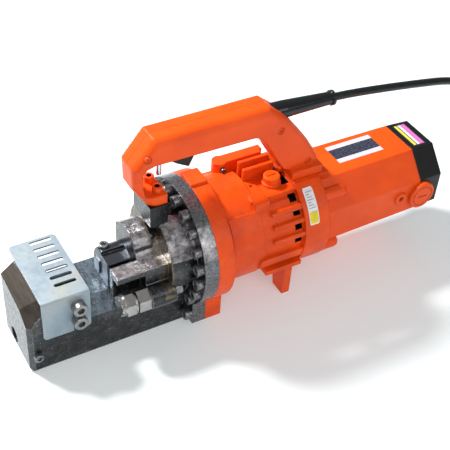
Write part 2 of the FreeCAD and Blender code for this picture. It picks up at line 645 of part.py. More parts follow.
def handle_solid():
    loop = prism_y(handle_outline(), -HANDLE_HALF, HANDLE_HALF)

    def outer_rim(edge):
        place = edge.BoundBox
        on_side = place.YLength < 0.01 and abs(abs(place.YMin) - HANDLE_HALF) < 0.1
        high = place.ZMax > HANDLE_TOP - 0.1
        front = place.XMax < -32.9 and place.XMin < -55.9
        rear = place.XMin > 99.9 and place.Center.x + place.Center.z > 332
        return on_side and (high or front or rear)
    loop = fillet(loop, 9.0, outer_rim)
    foot = box(131, 170, -25, 25, PAD_Z, 158)
    return fuse([loop, foot])


def handle_space():
    """Room inside the grip for the switch, the trigger, the lock pin and the cord."""
    switch_room = box(-28, 60, -12, 12, ROOM_Z, 240)
    trigger_slot = box(-16.8, 20, -8, 8, 210, ROOM_Z + 1)
    lock_way = rod_z(210, ROOM_Z + 1, LOCK_X, 0, 2.8 + RUNNING)
    wire_way = box(59, 98.5, -6, 6, 224, 236)
    collar_room = Part.makeCylinder(11.2, 6.0, RELIEF_START, RELIEF_AXIS)
    exit_way = Part.makeCylinder(9.85, 40, RELIEF_START, RELIEF_AXIS)
    tools = [switch_room, trigger_slot, lock_way, wire_way, collar_room, exit_way]
    for x, z in HANDLE_SCREWS:
        tools.append(rod_y(-19, 12, x, z, 2 + RUNNING))
        tools.append(rod_y(-19, -15, x, z, 4.0))
    tools.append(rod_y(-14, 14, *PIVOT, 2 + RUNNING))
    tools += [screw_hole(seat, **HANDLE_BOLT) for seat in HANDLE_BOLT_SEATS]
    return tools


def handle_half(solid, side):
    y0, y1 = (-60, 0) if side < 0 else (0, 60)
    return solid.common(box(-100, 220, y0, y1, 100, 300))


def handle_screws():
    screws = []
    for x, z in HANDLE_SCREWS:
        screws.append(socket_screw(Vector(x, -15, z), Vector(0, -1, 0), 3.6, 2.4, 2.0, 26))
    return Part.makeCompound(screws)


def trigger():
    side = [(-15.6, 225.5), (-6, 225.5), (17, 222), (16, 205), (11, 194.5), (-3, 202.5), (-15.6, 212)]
    paddle = prism_y(side, -7, 7)
    paddle = fillet(paddle, 1.2, lambda edge: edge.BoundBox.YLength < 0.01 and edge.BoundBox.ZMax < 214)
    return paddle.cut(rod_y(-8, 8, *PIVOT, 2 + RUNNING))


def strain_relief():
    collar = Part.makeCylinder(11.2, 6, RELIEF_START, RELIEF_AXIS)
    neck = Part.makeCylinder(9.8, 28, RELIEF_START, RELIEF_AXIS)
    boot = Part.makeCone(9.8, 7.2, 60, RELIEF_START + RELIEF_AXIS * 28, RELIEF_AXIS)
    bead = Part.makeCylinder(8.7, 3, RELIEF_END - RELIEF_AXIS * 3, RELIEF_AXIS)
    return fuse([collar, neck, boot, bead])


# ---------------------------------------------------------------- mains cord


CORD_ROUTE = [RELIEF_END, RELIEF_END + RELIEF_AXIS * 18, Vector(255, 0.5, 218.3), Vector(306, 0, 211),
              Vector(356, -0.6, 203), Vector(398, 0.5, 186), Vector(429, 1, 161), Vector(450, 0.5, 132),
              Vector(467, -0.5, 103), Vector(485.5, 0, 81), Vector(506.5, -1, 66.5),
              Vector(530, -0.6, 58.2), COIL_IN]


def round_run(route, radius):
    """Tube of straight runs joined by tangent arcs, each as large as its runs allow."""
    pieces = []
    length = 0.0
    last = route[0]
    radii = []
    for before, here, after in zip(route, route[1:], route[2:]):
        run_in = here - before
        run_out = after - here
        turn = run_in.getAngle(run_out)
        reach = 0.45 * min(run_in.Length, run_out.Length)
        bend = reach / math.tan(turn / 2)
        radii.append(bend)
        start = here - Vector(run_in).normalize() * reach
        end = here + Vector(run_out).normalize() * reach
        inward = (Vector(run_out).normalize() - Vector(run_in).normalize()).normalize()
        middle = here + inward * (math.hypot(bend, reach) - bend)
        pieces.append(Part.makeLine(last, start))
        pieces.append(Part.Arc(start, middle, end).toShape())
        length += (start - last).Length + bend * turn
        last = end
    pieces.append(Part.makeLine(last, route[-1]))
    length += (route[-1] - last).Length
    spine = Part.Wire(pieces)
    profile = Part.Wire(Part.makeCircle(radius, route[0], route[1] - route[0]))
    tube = spine.makePipeShell([profile], True, False, 1)
    print("cord radii", [round(r) for r in radii], "length", round(length, 1),
          "volume ratio", round(tube.Volume / (math.pi * radius ** 2 * length), 4))
    return tube


def cord_coil():
    """Outer shape of the coiled lead, with the two straight ends that leave it."""
    height = 2 * CORD_R * (COIL_TURNS + 1)
    centre_y = -COIL_MEAN_R
    hank = rod_z(0, height, COIL_X, centre_y, COIL_MEAN_R + CORD_R)
    hank = hank.cut(rod_z(-1, height + 1, COIL_X, centre_y, COIL_MEAN_R - CORD_R))
    way_in = rod_x(COIL_IN.x, COIL_X, COIL_IN.y, COIL_IN.z, CORD_R)
    way_out = rod_x(COIL_X, COIL_OUT_X, COIL_IN.y, PLUG_Z, CORD_R)
    return fuse([hank, way_in, way_out])


def plug():
    x = COIL_OUT_X
    y = COIL_IN.y
    boot = cone_x(x, x + 14, y, PLUG_Z, 5.5, 9)
    body = rod_x(x + 14, x + 48, y, PLUG_Z, PLUG_Z)
    blades = [box(x + 47, x + 65, y + dy - 0.8, y + dy + 0.8, PLUG_Z - 3.2, PLUG_Z + 3.2)
              for dy in (-6.4, 6.4)]
    earth = rod_x(x + 47, x + 67, y, PLUG_Z + 8, 2.4)
    return fuse([boot, body, earth] + blades)


# ------------------------------------------------------------------- build


def main():
    os.makedirs("parts", exist_ok=True)
    save("cutter_head", cutter_head())
    save("fixed_cutter", fixed_cutter())
    save("fixed_cutter_bolt", socket_screw(FIXED_BOLT_SEAT, head_r=5.0, head_h=6.0, **FIXED_BOLT))
    save("chip_guard", chip_guard())
    save("guard_screws", Part.makeCompound([socket_screw(seat, head_r=8.0, head_h=10.0, **GUARD_SCREW)
                                            for seat in GUARD_SCREW_SEATS]))
    save("nose_screw", socket_screw(NOSE_SCREW_SEAT, head_r=5.2, head_h=5.0, **NOSE_SCREW))
    save("flange_bolts", Part.makeCompound([socket_screw(seat, head_r=6.5, head_h=8.0, **FLANGE_BOLT)
                                            for seat in flange_bolt_seats()]))
    save("flange_o_ring", ring_x(14.9, FLANGE_T, 0, AXIS_Z, 35.6, 38.4))
    save("rod_wiper", ring_x(DOME_FRONT, -24, 0, AXIS_Z, ROD_R + 0.08, 23.95))
    save("stopper_bolt", stopper_bolt())
    save("stopper_nut", stopper_nut())

    save("piston_rod", piston_rod())
    save("piston_seal", ring_x(24, 28, 0, AXIS_Z, 29.02, PISTON_R))
    save("moving_cutter", moving_cutter())
    save("moving_cutter_bolt", socket_screw(RAM_BOLT_SEAT, head_r=5.2, head_h=6.0, **RAM_BOLT))
    save("return_spring", return_spring())

    save("pump_case", pump_case())
    save("filler_plug", filler_plug())
    save("release_valve", release_valve())
    save("pump_block", pump_block())
    save("pump_plunger", pump_plunger())
    save("plunger_spring", plunger_spring())
    save("cam_shaft", cam_shaft())
    save("cam_ring", ring_x(78, 92, 0, CAM_Z + ECCENTRIC, 10.02, 13.3))
    save("cam_bearings", Part.makeCompound([ring_x(x, x + 7, 0, CAM_Z, 5 + RUNNING, 8) for x in (61, 111)]))
    save("cam_gear", spur_gear(101, 109, 0, CAM_Z, GEAR_TEETH, 5.02, 90.0))
    save("oil_bladder", oil_bladder())
    save("gear_plate", gear_plate())

    save("fan_case", fan_case())
    save("case_screws", Part.makeCompound([socket_screw(seat, head_r=5.0, head_h=4.5, **CASE_SCREW)
                                           for seat in case_screw_seats()]))
    save("motor_housing", motor_housing())
    save("tail_cover", tail_cover())
    save("tail_screws", Part.makeCompound([socket_screw(seat, head_r=4.0, head_h=2.0, **TAIL_SCREW)
                                           for seat in TAIL_SCREW_SEATS]))
    save("nameplate", box(205.6, 267.2, -11.7, 19.7, AXIS_Z + MOTOR_TOP, AXIS_Z + MOTOR_TOP + 0.5))
    save("armature", armature())
    half_tooth = 180.0 / PINION_TEETH
    save("pinion", spur_gear(100, 110, 0, AXIS_Z, PINION_TEETH, 3.42, -90 + half_tooth))
    save("commutator", commutator())
    save("fan", fan())
    save("fan_baffle", ring_x(160, FAN_REAR, 0, AXIS_Z, 30, 48.5))
    save("front_bearing", ring_x(121, 130, 0, AXIS_Z, 6 + RUNNING, 13))
    save("rear_bearing", ring_x(313, 323, 0, AXIS_Z, 6 + RUNNING, 13))
    save("field_stator", field_stator())
    save("field_coils", field_coils())
    save("brush_holders", brush_holders())
    save("carbon_brushes", carbon_brushes())
    save("brush_caps", brush_caps())
    save("holder_screws", Part.makeCompound(both_sides(
        rod_y(-49, -45, HOLDER_SCREW_X, HOLDER_SCREW_Z, 3.3))))

    solid = handle_solid().cut(handle_space())
    save("handle_near", handle_half(solid, -1))
    save("handle_far", handle_half(solid, 1))
    save("handle_screws", handle_screws())
    save("handle_bolts", Part.makeCompound([socket_screw(seat, head_r=5.4, head_h=7.5, **HANDLE_BOLT)
                                            for seat in HANDLE_BOLT_SEATS]))
    save("trigger", trigger())
    save("trigger_pin", rod_y(-14, 14, *PIVOT, 2))
    save("switch_body", box(0, 46, -12, 12, 227.5, 240))
    save("lock_pin", fuse([rod_z(191, ROOM_Z + 3, LOCK_X, 0, 2.8), rod_z(ROOM_Z, ROOM_Z + 3, LOCK_X, 0, 4)]))
    save("strain_relief", strain_relief())
    save("cord", round_run(CORD_ROUTE, CORD_R))
    save("cord_coil", cord_coil())
    save("plug", plug())


main()
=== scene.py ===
import math

import bpy
from mathutils import Matrix, Vector


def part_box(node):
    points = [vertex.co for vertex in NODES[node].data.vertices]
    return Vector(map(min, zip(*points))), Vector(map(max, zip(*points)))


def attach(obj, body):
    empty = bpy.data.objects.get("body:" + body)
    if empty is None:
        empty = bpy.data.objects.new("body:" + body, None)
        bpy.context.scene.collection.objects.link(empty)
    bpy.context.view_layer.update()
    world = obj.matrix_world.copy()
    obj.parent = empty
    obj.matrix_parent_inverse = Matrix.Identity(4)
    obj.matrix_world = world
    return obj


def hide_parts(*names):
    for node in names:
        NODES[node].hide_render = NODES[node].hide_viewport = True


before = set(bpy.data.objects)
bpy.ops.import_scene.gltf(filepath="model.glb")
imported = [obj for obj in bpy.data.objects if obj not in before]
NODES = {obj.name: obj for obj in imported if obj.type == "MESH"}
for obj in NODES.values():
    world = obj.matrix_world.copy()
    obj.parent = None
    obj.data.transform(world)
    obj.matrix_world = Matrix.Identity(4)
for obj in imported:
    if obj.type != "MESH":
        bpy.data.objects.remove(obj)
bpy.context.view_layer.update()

SCENE = bpy.context.scene
AXIS_Z = 0.0895          # height of the ram and motor axis
FLANGE_X = 72.5          # mm from the flange's front face back to the part's origin


def at(x, y, z):
    """Position in mm, X from the flange's front face, as metres in the part's frame."""
    return Vector(((x - FLANGE_X) / 1000, y / 1000, z / 1000))


# ------------------------------------------------------------------ camera

CAMERA_AT = at(-380.4, -700.1, 815.3)
AZIMUTH, ELEVATION, ROLL = -31.09, 42.12, 3.65
LENS = 78.2
SHIFT = (0.0408, 0.0312)


def make_camera():
    a, e, r = (math.radians(v) for v in (AZIMUTH, ELEVATION, ROLL))
    back = Vector((math.sin(a) * math.cos(e), -math.cos(a) * math.cos(e), math.sin(e)))
    right = Vector((math.cos(a), math.sin(a), 0))
    up = back.cross(right)
    right, up = (math.cos(r) * right + math.sin(r) * up, math.cos(r) * up - math.sin(r) * right)
    data = bpy.data.cameras.new("camera")
    data.sensor_width = 36.0
    data.lens = LENS
    data.shift_x, data.shift_y = SHIFT
    camera = bpy.data.objects.new("camera", data)
    turn = Matrix((right, up, back)).transposed().to_4x4()
    camera.matrix_world = Matrix.Translation(CAMERA_AT) @ turn
    SCENE.collection.objects.link(camera)
    SCENE.camera = camera


# --------------------------------------------------------------- materials


class Shader:
    """Small helper that adds nodes to one material's tree."""

    INPUTS = {"color": "Base Color", "metallic": "Metallic", "roughness": "Roughness",
              "coat": "Coat Weight", "coat_roughness": "Coat Roughness",
              "specular": "Specular IOR Level"}

    def __init__(self, name):
        self.material = bpy.data.materials.new(name)
        self.material.use_nodes = True
        self.tree = self.material.node_tree
        self.bsdf = self.tree.nodes["Principled BSDF"]
        self.coords = self.add("ShaderNodeTexCoord").outputs["Object"]
        self.normal = None

    def add(self, kind, **values):
        node = self.tree.nodes.new(kind)
        for key, value in values.items():
            setattr(node, key, value)
        return node

    def link(self, source, target):
        self.tree.links.new(source, target)

    def noise(self, size, detail=3.0, roughness=0.55, stretch=(1, 1, 1)):
        """Noise whose features are about size metres across; returns its factor output."""
        mapping = self.add("ShaderNodeMapping")
        mapping.inputs["Scale"].default_value = stretch
        self.link(self.coords, mapping.inputs["Vector"])
        node = self.add("ShaderNodeTexNoise")
        node.inputs["Scale"].default_value = 1.0 / size
        node.inputs["Detail"].default_value = detail
        node.inputs["Roughness"].default_value = roughness
        self.link(mapping.outputs["Vector"], node.inputs["Vector"])
        return node.outputs["Fac"]

    def ramp(self, factor, *stops):
        """Maps a factor through (position, grey or colour) stops."""
        node = self.add("ShaderNodeValToRGB")
        elements = node.color_ramp.elements
        while len(elements) < len(stops):
            elements.new(0.5)
        for element, (place, value) in zip(elements, stops):
            element.position = place
            grey = (value, value, value) if isinstance(value, (int, float)) else value
            element.color = (*grey, 1)
        self.link(factor, node.inputs["Fac"])
        return node.outputs["Color"]

    def mix(self, factor, a, b):
        """From colour a to colour b by the factor."""
        node = self.add("ShaderNodeMix", data_type="RGBA")
        for value, socket in ((factor, node.inputs[0]), (a, node.inputs[6]), (b, node.inputs[7])):
            if isinstance(value, bpy.types.NodeSocket):
                self.link(value, socket)
            elif isinstance(value, (int, float)):
                socket.default_value = value
            else:
                socket.default_value = (*value, 1)
        return node.outputs[2]

    def math(self, operation, a, b):
        node = self.add("ShaderNodeMath", operation=operation)
        for value, socket in zip((a, b), node.inputs):
            if isinstance(value, bpy.types.NodeSocket):
                self.link(value, socket)
            else:
                socket.default_value = value
        return node.outputs[0]

    def axis(self, letter):
        node = self.add("ShaderNodeSeparateXYZ")
        self.link(self.coords, node.inputs[0])
        return node.outputs[letter]

    def above(self, value, limit):
        return self.math("GREATER_THAN", value, limit)

    def below(self, value, limit):
        return self.math("LESS_THAN", value, limit)

    def between(self, value, limits):
        return self.all_of(self.above(value, limits[0]), self.below(value, limits[1]))

    def all_of(self, first, *others):
        for other in others:
            first = self.math("MULTIPLY", first, other)
        return first

    def distance_square(self, a, b):
        return self.math("ADD", self.math("MULTIPLY", a, a), self.math("MULTIPLY", b, b))

    def radius_mask(self, radius, x_range):
        """One inside a cylinder about the main axis, X in metres from the flange's front face."""
        height = self.math("SUBTRACT", self.axis("Z"), AXIS_Z)
        square = self.distance_square(self.axis("Y"), height)
        x = self.math("ADD", self.axis("X"), FLANGE_X / 1000)
        return self.all_of(self.below(square, radius * radius), self.between(x, x_range))

    def round_edges(self, radius):
        """Softened normal at the edges; returns how far it leans from the flat one."""
        bevel = self.add("ShaderNodeBevel", samples=4)
        bevel.inputs["Radius"].default_value = radius
        self.normal = bevel.outputs[0]
        flat = self.add("ShaderNodeNewGeometry")
        dot = self.add("ShaderNodeVectorMath", operation="DOT_PRODUCT")
        self.link(bevel.outputs[0], dot.inputs[0])
        self.link(flat.outputs["Normal"], dot.inputs[1])
        return self.ramp(dot.outputs["Value"], (0.78, 1.0), (0.97, 0.0))

    def bump(self, height, strength, distance):
        node = self.add("ShaderNodeBump")
        node.inputs["Strength"].default_value = strength
        node.inputs["Distance"].default_value = distance
        self.link(height, node.inputs["Height"])
        if self.normal is not None:
            self.link(self.normal, node.inputs["Normal"])
        self.normal = node.outputs[0]

    def set(self, **values):
        for key, value in values.items():
            socket = self.bsdf.inputs[self.INPUTS[key]]
            if isinstance(value, bpy.types.NodeSocket):
                self.link(value, socket)
            elif isinstance(value, tuple):
                socket.default_value = (*value, 1)
            else:
                socket.default_value = value

    def done(self):
        if self.normal is not None:
            self.link(self.normal, self.bsdf.inputs["Normal"])
        return self.material


ORANGE_DEEP = (0.62, 0.050, 0.002)
ORANGE = (0.84, 0.080, 0.002)
ORANGE_WORN = (0.92, 0.15, 0.018)
# Near-black painted shade for the inside of the pump case's hollow and of the vents, over their unpainted
# casting
HOLLOW_SHADE_BLACK = (0.004, 0.003, 0.003)

# Radius and X range of the pump case's hollow and of the vents' ring, from the flange, in metres
CASE_HOLLOW = (0.051, (0.0395, 0.134))
VENT_RING = (0.0588, (0.1203, 0.1297))

# The handle's foot screws: centre, socket radius and height of the socket's floor
FOOT_SCREW_X, FOOT_SCREW_Y = 0.0995, 0.0095
FOOT_SOCKET_R, FOOT_SOCKET_Z = 0.0032, 0.1844

# Regions of the cutter head, in metres in the part's frame
RIM = (0.2, (0.0004, 0.0170))
JAW_FLOOR_X, JAW_FLOOR_TOP = (-0.219, -0.1325), 0.0715
NOSE_FACET_X, NOSE_FACET_Y = -0.240, -0.034
SHEEN_FRONT, SHEEN_Z = -0.164, (0.094, 0.1455)
POST_FOOT = 0.1425
DOME_PATCH_X, DOME_PATCH_Z = (-0.1120, -0.0995), (0.070, 0.136)


def orange_cast():
    """Enamel on a casting: soft waves, fine orange peel, random darker grime patches, and near-black painted
    shade inside the case's hollow and the vents, where the casting is unpainted.
    """
    s = Shader("orange_enamel_on_casting")
    edge = s.round_edges(0.0016)
    base = s.ramp(s.noise(0.035, 3), (0.3, ORANGE_DEEP), (0.7, ORANGE))
    worn = s.mix(s.math("MULTIPLY", edge, 0.30), base, ORANGE_WORN)
    grime = s.ramp(s.noise(0.006, 5, 0.7), (0.60, 0.0), (0.80, 0.35))
    painted = s.mix(grime, worn, (0.36, 0.022, 0.002))
    # Painted shade: the hollow and the vents' ring are coloured near-black, standing for the shade that lies
    # in them
    inner = s.math("MAXIMUM", s.radius_mask(*CASE_HOLLOW), s.radius_mask(*VENT_RING))
    s.set(color=s.mix(inner, painted, HOLLOW_SHADE_BLACK), coat=0.05, coat_roughness=0.3, specular=0.25)
    s.set(roughness=s.ramp(s.noise(0.012, 4), (0.3, 0.36), (0.75, 0.56)))
    s.bump(s.noise(0.0075, 4, 0.6), 0.45, 0.0018)
    s.bump(s.noise(0.0016, 2), 0.16, 0.0006)
    return s.done()


def orange_smooth(name, rough, grain):
    """Moulded or enamelled smooth orange, a little scuffed."""
    s = Shader(name)
    edge = s.round_edges(0.0026)
    base = s.ramp(s.noise(0.05, 3), (0.3, (0.72, 0.062, 0.002)), (0.7, (0.86, 0.084, 0.002)))
    s.set(color=s.mix(s.math("MULTIPLY", edge, 0.25), base, ORANGE_WORN), specular=0.25)
    scuffs = s.ramp(s.noise(0.009, 6, 0.72), (0.35, rough), (0.75, rough + 0.16))
    s.set(roughness=scuffs, coat=0.03, coat_roughness=0.3)
    s.bump(s.noise(0.02, 2), 0.10, 0.002)
    s.bump(s.noise(0.0011, 2), grain, 0.0005)
    return s.done()


def orange_bolts():
    """Enamelled socket screws of the handle's foot, with the inside of their sockets coloured near-black as
    painted shade.
    """
    s = Shader("orange_bolts")
    s.round_edges(0.0008)
    x = s.math("ADD", s.axis("X"), FOOT_SCREW_X)
    y = s.math("SUBTRACT", s.math("ABSOLUTE", s.axis("Y"), 0), FOOT_SCREW_Y)
    # Painted shade: within the socket's radius and below FOOT_SOCKET_Z the screw is coloured near-black
    socket = s.all_of(s.below(s.distance_square(x, y), FOOT_SOCKET_R ** 2),
                      s.below(s.axis("Z"), FOOT_SOCKET_Z))
    base = s.ramp(s.noise(0.01, 3), (0.3, ORANGE_DEEP), (0.7, ORANGE))
    s.set(color=s.mix(socket, base, (0.010, 0.004, 0.002)), specular=0.3)
    s.set(roughness=s.ramp(s.noise(0.004, 3), (0.3, 0.36), (0.7, 0.5)))
    s.bump(s.noise(0.0015, 2), 0.12, 0.0004)
    return s.done()


def raw_casting(s, edge):
    """Mottled black iron with specks, rust-brown patches and worn edges."""
    base = s.ramp(s.noise(0.011, 6, 0.7), (0.30, (0.008, 0.009, 0.010)), (0.5, (0.024, 0.026, 0.029)),
                  (0.75, (0.080, 0.084, 0.092)))
    specks = s.ramp(s.noise(0.0028, 3, 0.5), (0.64, 0.0), (0.70, 0.5))
    base = s.mix(specks, base, (0.24, 0.25, 0.27))
    brown = s.ramp(s.noise(0.03, 3), (0.55, 0.0), (0.8, 0.45))
    base = s.mix(brown, base, (0.055, 0.034, 0.020))
    worn = s.ramp(s.math("MULTIPLY", edge, s.noise(0.004, 4, 0.7)), (0.2, 0.0), (0.55, 0.85))
    return s.mix(worn, base, (0.50, 0.52, 0.54))


def cast_dark():
    """Black cast iron: speckled rim, ground jaw floor, ground nose facet darkened as painted shade, machined
    tops lightened as painted highlight, yellow-brown patches on the dome's front face.
    """
    s = Shader("oiled_cast_iron")
    base = raw_casting(s, s.round_edges(0.0018))
    x, y, z = s.axis("X"), s.axis("Y"), s.axis("Z")
    facing = s.add("ShaderNodeSeparateXYZ")
    s.link(s.add("ShaderNodeNewGeometry").outputs["Normal"], facing.inputs[0])
    up, ahead = facing.outputs["Z"], facing.outputs["X"]

    rim = s.radius_mask(*RIM)
    speckled = s.ramp(s.noise(0.0022, 4, 0.7), (0.35, (0.045, 0.048, 0.053)), (0.62, (0.20, 0.21, 0.225)))
    base = s.mix(rim, base, speckled)

    streaks = s.noise(0.006, 5, 0.7, (1, 0.15, 1))
    ground = s.ramp(streaks, (0.3, (0.05, 0.068, 0.085)), (0.7, (0.20, 0.25, 0.30)))
    jaw_floor = s.all_of(s.above(up, 0.6), s.below(z, JAW_FLOOR_TOP), s.between(x, JAW_FLOOR_X))
    base = s.mix(jaw_floor, base, ground)

    # Painted shade: the ground nose facet faces the key light and is kept dark; its brown-grey tone is its
    # own
    shaded_facet = s.all_of(s.above(up, 0.5), s.below(ahead, -0.3), s.below(x, NOSE_FACET_X),
                     s.above(y, NOSE_FACET_Y))
    base = s.mix(shaded_facet, base, s.ramp(streaks, (0.3, (0.035, 0.027, 0.021)), (0.75, (0.085, 0.070, 0.058))))

    # Painted highlight: upward faces of the machined shelf and guide are lightened to a bright sheen
    sheen_tops = s.all_of(s.above(up, 0.35), s.between(z, SHEEN_Z), s.above(x, SHEEN_FRONT))
    painted_sheen = s.ramp(s.noise(0.009, 5, 0.7), (0.35, (0.085, 0.083, 0.090)), (0.66, (0.62, 0.58, 0.60)))
    base = s.mix(s.math("MULTIPLY", sheen_tops, 0.75), base, painted_sheen)

    post = s.above(z, POST_FOOT)
    post_only = s.math("SUBTRACT", post, s.math("MINIMUM", rim, post))
    base = s.mix(post_only, base, (0.013, 0.014, 0.015))

    # Yellow-brown patches on the dome's front face
    dome_front_patch = s.all_of(s.between(x, DOME_PATCH_X), s.between(z, DOME_PATCH_Z))
    patchy = s.ramp(s.noise(0.007, 4, 0.6), (0.42, 0.0), (0.62, 0.75))
    base = s.mix(s.math("MULTIPLY", dome_front_patch, patchy), base, (0.17, 0.11, 0.03))

    s.set(color=base, metallic=0.75, specular=0.6, coat=0.3, coat_roughness=0.12)
    rough = s.ramp(s.noise(0.005, 5, 0.65), (0.3, 0.18), (0.75, 0.44))
    s.set(roughness=s.mix(shaded_facet, rough, (0.55, 0.55, 0.55)))
    relief = s.math("ADD", s.noise(0.006, 5, 0.6), s.math("MULTIPLY", s.noise(0.0013, 3, 0.6), 0.25))
    s.bump(s.math("MULTIPLY", relief, s.math("SUBTRACT", 1.0, shaded_facet)), 0.45, 0.0018)
    return s.done()


def bare_steel(name, color, rough, stretch):
    """Machined steel, brushed across the stretch, brighter on its edges."""
    s = Shader(name)
    edge = s.round_edges(0.0008)
    tint = s.ramp(s.noise(0.02, 4), (0.3, tuple(c * 0.78 for c in color)), (0.7, color))
    s.set(color=s.mix(s.math("MULTIPLY", edge, 0.5), tint, (0.72, 0.73, 0.75)), metallic=0.95)
    grain = s.noise(0.0025, 5, 0.7, stretch)
    s.set(roughness=s.ramp(grain, (0.3, rough - 0.08), (0.7, rough + 0.14)))
    s.bump(grain, 0.16, 0.0003)
    return s.done()


def zinc_plate():
    """Zinc-plated sheet with a clouded blue-grey tint."""
    s = Shader("zinc_plate")
    edge = s.round_edges(0.0007)
    cloud = s.noise(0.05, 4, 0.6)
    tint = s.ramp(cloud, (0.25, (0.20, 0.265, 0.32)), (0.5, (0.30, 0.36, 0.40)), (0.78, (0.38, 0.38, 0.33)))
    s.set(color=s.mix(s.math("MULTIPLY", edge, 0.5), tint, (0.62, 0.64, 0.64)), metallic=0.55)
    s.set(roughness=s.ramp(s.noise(0.004, 5, 0.7), (0.3, 0.38), (0.7, 0.55)))
    s.bump(s.noise(0.0009, 3), 0.10, 0.0003)
    return s.done()


def black_oxide():
    s = Shader("black_oxide_screws")
    edge = s.round_edges(0.0007)
    base = s.ramp(s.noise(0.003, 4), (0.3, (0.06, 0.06, 0.063)), (0.7, (0.26, 0.265, 0.275)))
    s.set(color=s.mix(s.math("MULTIPLY", edge, 0.9), base, (0.55, 0.56, 0.58)), metallic=0.8)
    s.set(roughness=s.ramp(s.noise(0.002, 3), (0.3, 0.26), (0.7, 0.42)))
    return s.done()


def black_moulded(name, color, rough, grain, coat=0.0):
    """Moulded plastic or rubber with a fine grain."""
    s = Shader(name)
    edge = s.round_edges(0.0012)
    base = s.ramp(s.noise(0.02, 3), (0.3, tuple(c * 0.7 for c in color)), (0.7, color))
    s.set(color=s.mix(s.math("MULTIPLY", edge, 0.35), base, (0.06, 0.06, 0.065)), coat=coat, specular=0.3)
    s.set(roughness=s.ramp(s.noise(0.006, 4), (0.3, rough - 0.06), (0.7, rough + 0.1)), coat_roughness=0.15)
    s.bump(s.noise(0.0008, 2), grain, 0.0004)
    return s.done()


def label_plate():
    """Printed aluminium plate: white field, dark band and no lettering."""
    s = Shader("label_plate")
    low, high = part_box("nameplate")
    across = s.add("ShaderNodeMapRange")
    across.inputs["From Min"].default_value = low[1]
    across.inputs["From Max"].default_value = high[1]
    s.link(s.axis("Y"), across.inputs["Value"])
    white, dark = (0.72, 0.70, 0.76), (0.018, 0.022, 0.050)
    band = s.ramp(across.outputs[0], (0.0, white), (0.22, dark), (0.78, white))
    for node in s.tree.nodes:
        if node.type == "VALTORGB":
            node.color_ramp.interpolation = "CONSTANT"
    speck = s.ramp(s.noise(0.0022, 4, 0.6), (0.45, 0.0), (0.75, 0.25))
    s.set(color=s.mix(speck, band, (0.5, 0.51, 0.55)), roughness=0.32, metallic=0.25)
    return s.done()


def make_materials():
    """Gives every node its material, and returns the two that the added pieces share."""
    orange = orange_cast()
    handle = orange_smooth("orange_handle", 0.36, 0.10)
    motor = orange_smooth("orange_motor", 0.30, 0.08)
    iron = cast_dark()
    ram = bare_steel("ground_ram_steel", (0.085, 0.095, 0.11), 0.30, (1, 12, 12))
    casting = bare_steel("dark_casting", (0.05, 0.05, 0.052), 0.5, (2, 2, 2))
    blade = bare_steel("tool_steel", (0.16, 0.17, 0.19), 0.32, (9, 9, 1))
    bolt = bare_steel("stopper_steel", (0.42, 0.41, 0.40), 0.28, (1, 6, 6))
    inner = bare_steel("machined_steel", (0.50, 0.50, 0.51), 0.30, (1, 5, 5))
    bright_bolt = bare_steel("ram_bolt_steel", (0.30, 0.30, 0.30), 0.32, (3, 3, 3))
    chrome = bare_steel("bright_steel", (0.66, 0.67, 0.69), 0.14, (1, 4, 4))
    zinc = zinc_plate()
    screws = black_oxide()
    black = black_moulded("black_cover", (0.006, 0.006, 0.007), 0.34, 0.22)
    trigger = black_moulded("black_trigger", (0.006, 0.006, 0.007), 0.36, 0.12)
    rubber = black_moulded("black_rubber", (0.004, 0.005, 0.006), 0.20, 0.16, 0.3)
    sheath = black_moulded("cord_sheath", (0.006, 0.008, 0.009), 0.30, 0.20, 0.2)
    bronze = bare_steel("sintered_bronze", (0.46, 0.27, 0.10), 0.40, (2, 2, 2))
    copper = bare_steel("copper_wire", (0.58, 0.24, 0.11), 0.34, (1, 8, 8))
    cream = black_moulded("cream_plastic", (0.62, 0.58, 0.50), 0.45, 0.15)
    carbon = black_moulded("carbon", (0.03, 0.03, 0.032), 0.55, 0.3)
    table = {
        orange: ("pump_case", "fan_case"),
        handle: ("handle_near", "handle_far", "brush_caps"),
        motor: ("motor_housing",),
        iron: ("cutter_head",),
        ram: ("piston_rod",),
        blade: ("fixed_cutter", "moving_cutter"),
        bolt: ("stopper_bolt", "stopper_nut"),
        inner: ("armature", "field_stator", "cam_shaft", "pump_block"),
        casting: ("gear_plate",),
        bright_bolt: ("moving_cutter_bolt", "guard_screws"),
        chrome: ("lock_pin", "trigger_pin", "pump_plunger", "front_bearing", "rear_bearing", "cam_bearings"),
        zinc: ("chip_guard",),
        screws: ("flange_bolts", "nose_screw", "fixed_cutter_bolt",
                 "case_screws", "tail_screws", "holder_screws",
                 "pinion", "cam_gear", "return_spring", "plunger_spring", "release_valve"),
        black: ("tail_cover", "switch_body"),
        trigger: ("trigger",),
        rubber: ("strain_relief", "plug", "oil_bladder", "flange_o_ring", "rod_wiper", "piston_seal"),
        sheath: ("cord", "cord_coil"),
        bronze: ("cam_ring", "brush_holders"),
        copper: ("commutator", "field_coils"),
        cream: ("fan", "fan_baffle"),
        carbon: ("carbon_brushes",),
        label_plate(): ("nameplate",),
        orange_smooth("orange_plug", 0.34, 0.12): ("filler_plug", "handle_screws"),
        orange_bolts(): ("handle_bolts",),
    }
    for material, names in table.items():
        for name in names:
            data = NODES[name].data
            data.materials.clear()
            data.materials.append(material)
    return sheath, rubber


# -------------------------------------------------------------------- cord

CORD_D = 0.009           # metres, like CORD_LENGTH; the coil's figures are in mm
CORD_EXIT = (188.9, 0, 225.5)
COIL_CENTRE = (586.0, -49.5)
COIL_R = 49.5
COIL_TURNS = 6
STEPS = 16               # points on each turn
COIL_TOP, COIL_BOTTOM = 58.2, 4.7
COIL_NUDGE = -0.6        # sideways, where the free run meets the coil

